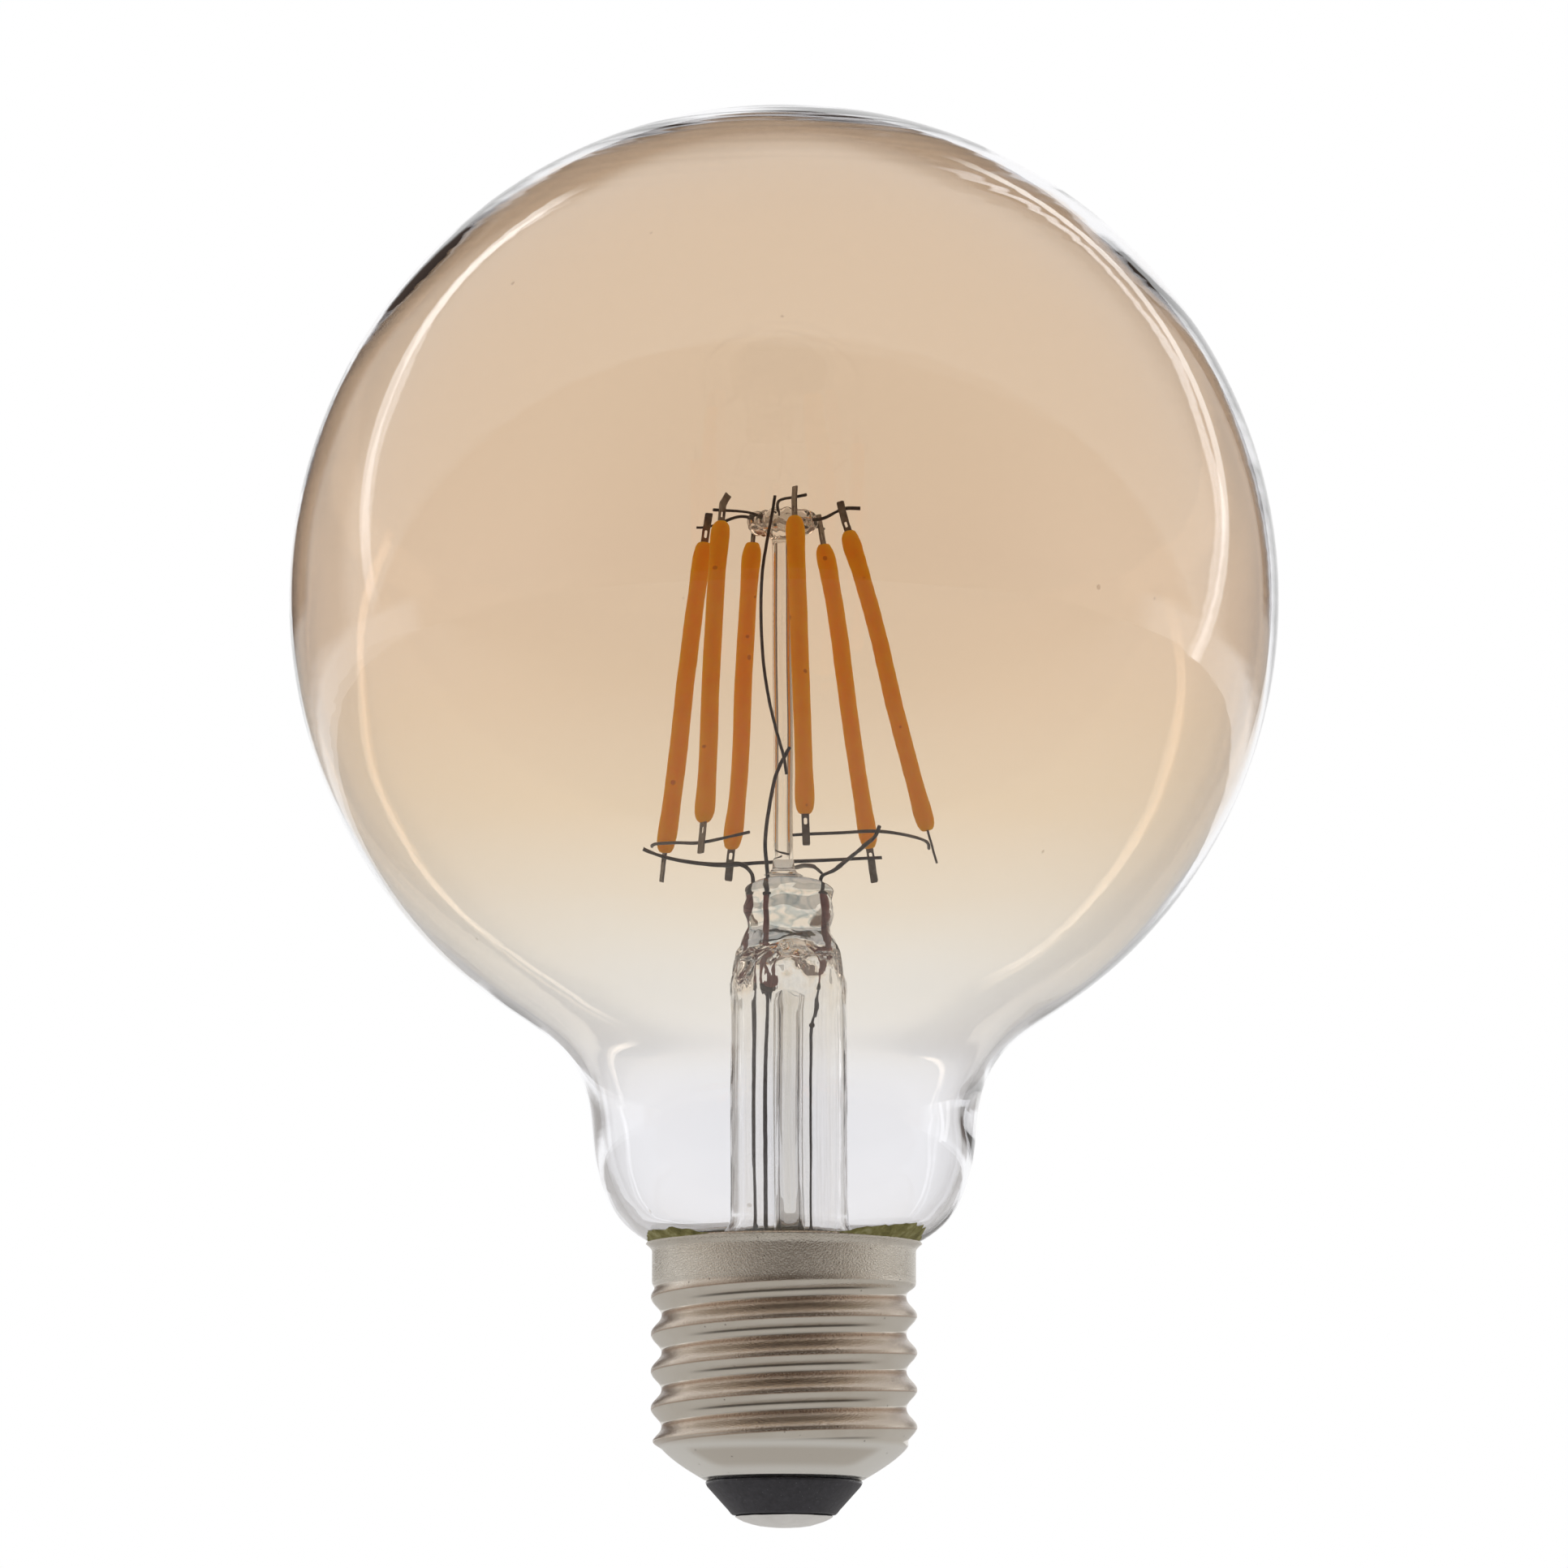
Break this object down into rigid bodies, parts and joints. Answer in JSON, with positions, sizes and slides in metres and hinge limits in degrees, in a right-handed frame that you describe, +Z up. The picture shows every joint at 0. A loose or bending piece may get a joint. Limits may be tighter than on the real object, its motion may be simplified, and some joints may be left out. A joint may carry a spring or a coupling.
{
  "type": "filament light bulb",
  "caption": "Globe-shaped filament light bulb in amber-tinted glass, with a cage of upright filaments on a glass stem and an Edison screw cap.",
  "frame": {"origin": "bottom of the centre contact, on the lamp's axis, where the lampholder's contact meets it", "axes": "+Z up the lamp's axis towards the globe's crown, -Y towards the viewer"},
  "size_m": [0.098, 0.098, 0.1407],
  "materials": {
    "amber_glass": "clear blown glass with an amber tint that fades out at the neck",
    "clear_glass": "clear drawn glass, fire polished",
    "nickel_cap": "nickel plated sheet, warm grey, fine orange peel",
    "contact_metal": "nickel plated, satin",
    "black_insulator": "black, slightly grainy",
    "cap_cement": "olive cement, rough",
    "phosphor": "orange phosphor in silicone, satin",
    "ceramic_carrier": "white ceramic",
    "tab_metal": "dull stamped steel strip",
    "nickel_wire": "drawn nickel wire, dull",
    "dumet_wire": "copper clad seal wire, pink red",
    "lead_wire": "tinned wire, grey",
    "board_laminate": "green circuit board",
    "chip_black": "moulded black",
    "capacitor_sleeve": "shrunk sleeve on an aluminium can",
    "ferrite": "ferrite drum wound with enamelled wire",
    "resistor_body": "flameproof coating",
    "wire_sleeve": "insulated hook-up wire"
  },
  "bodies": {
    "root": {"glass_envelope": "amber_glass", "stem_flare": "clear_glass", "exhaust_tube": "clear_glass", "glass_rod": "clear_glass", "cap_shell": "nickel_cap", "centre_contact": "contact_metal", "cap_insulator": "black_insulator", "cap_cement": "cap_cement", "filament_left_phosphor": "phosphor", "filament_front_left_phosphor": "phosphor", "filament_back_left_phosphor": "phosphor", "filament_front_phosphor": "phosphor", "filament_back_right_phosphor": "phosphor", "filament_right_phosphor": "phosphor", "filament_left_carrier": "ceramic_carrier", "filament_front_left_carrier": "ceramic_carrier", "filament_back_left_carrier": "ceramic_carrier", "filament_front_carrier": "ceramic_carrier", "filament_back_right_carrier": "ceramic_carrier", "filament_right_carrier": "ceramic_carrier", "filament_left_foot_tab": "tab_metal", "filament_left_head_tab": "tab_metal", "filament_front_left_foot_tab": "tab_metal", "filament_front_left_head_tab": "tab_metal", "filament_back_left_foot_tab": "tab_metal", "filament_back_left_head_tab": "tab_metal", "filament_front_foot_tab": "tab_metal", "filament_front_head_tab": "tab_metal", "filament_back_right_foot_tab": "tab_metal", "filament_back_right_head_tab": "tab_metal", "filament_right_foot_tab": "tab_metal", "filament_right_head_tab": "tab_metal", "hook_left": "nickel_wire", "hook_front_left": "nickel_wire", "hook_back_left": "nickel_wire", "hook_front": "nickel_wire", "hook_back_right": "nickel_wire", "hook_right": "nickel_wire", "lead_left_inner": "nickel_wire", "lead_centre_inner": "nickel_wire", "lead_right_inner": "nickel_wire", "lead_right_branch": "nickel_wire", "centre_riser": "nickel_wire", "support_front_left": "nickel_wire", "support_front_right": "nickel_wire", "support_back": "nickel_wire", "lead_left_seal": "dumet_wire", "lead_centre_seal": "dumet_wire", "lead_right_seal": "dumet_wire", "lead_left_outer": "lead_wire", "lead_centre_outer": "lead_wire", "lead_right_outer": "lead_wire", "driver_board": "board_laminate", "radio_module": "board_laminate", "bridge_rectifier": "chip_black", "controller_chip": "chip_black", "smoothing_capacitor": "capacitor_sleeve", "filter_choke": "ferrite", "fusible_resistor": "resistor_body", "neutral_wire": "wire_sleeve"}
  },
  "joints": []
}
